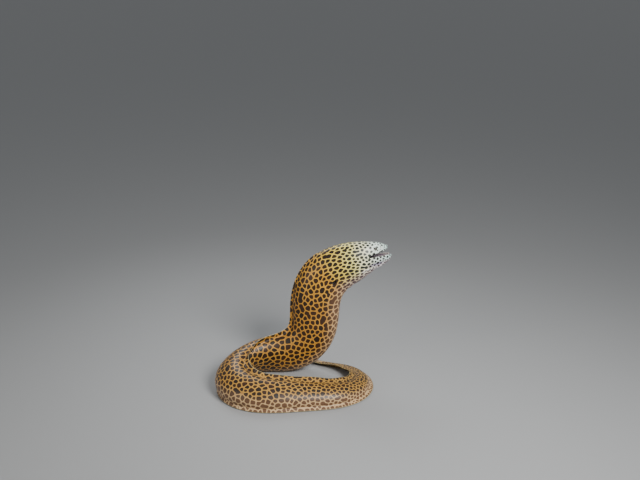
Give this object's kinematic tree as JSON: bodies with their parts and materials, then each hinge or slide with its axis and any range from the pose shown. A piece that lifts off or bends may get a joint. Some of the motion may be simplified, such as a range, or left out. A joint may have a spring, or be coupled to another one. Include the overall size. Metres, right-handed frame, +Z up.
{
  "type": "honeycomb moray eel, life-size still model",
  "caption": "Still model of a honeycomb moray eel: head and neck raised, mouth a little open, thick body laid on the floor in a loose loop that ends in the flattened tail.",
  "frame": {"origin": "bottom centre of the model's box, on the floor that the belly lies on", "axes": "+X the way the raised head points, +Z up, -Y the side that the camera sees"},
  "size_m": [0.4929, 0.3036, 0.3977],
  "materials": {
    "skin": "wet, smooth scaleless skin: dark rounded blotches in a thin pale net",
    "head_skin": "wet, smooth scaleless skin with small close spots",
    "fin_skin": "wet, thick skin over fine rays",
    "eye": "clear wet eye over a dark pupil"
  },
  "bodies": {
    "root": {"head": "head_skin", "lower_jaw": "head_skin", "eye_left": "eye", "eye_right": "eye", "neck": "skin", "fore_body": "skin", "trunk_front": "skin", "trunk_middle": "skin", "trunk_rear": "skin", "tail_front": "skin", "tail_middle": "skin", "tail_rear": "skin", "tail_fin": "fin_skin", "dorsal_fin_neck": "fin_skin", "dorsal_fin_fore_body": "fin_skin", "dorsal_fin_trunk_front": "fin_skin", "dorsal_fin_trunk_middle": "fin_skin", "dorsal_fin_trunk_rear": "fin_skin", "dorsal_fin_tail_front": "fin_skin", "dorsal_fin_tail_middle": "fin_skin", "dorsal_fin_tail_rear": "fin_skin", "anal_fin_trunk_middle": "fin_skin", "anal_fin_trunk_rear": "fin_skin", "anal_fin_tail_front": "fin_skin", "anal_fin_tail_middle": "fin_skin", "anal_fin_tail_rear": "fin_skin"}
  },
  "joints": []
}
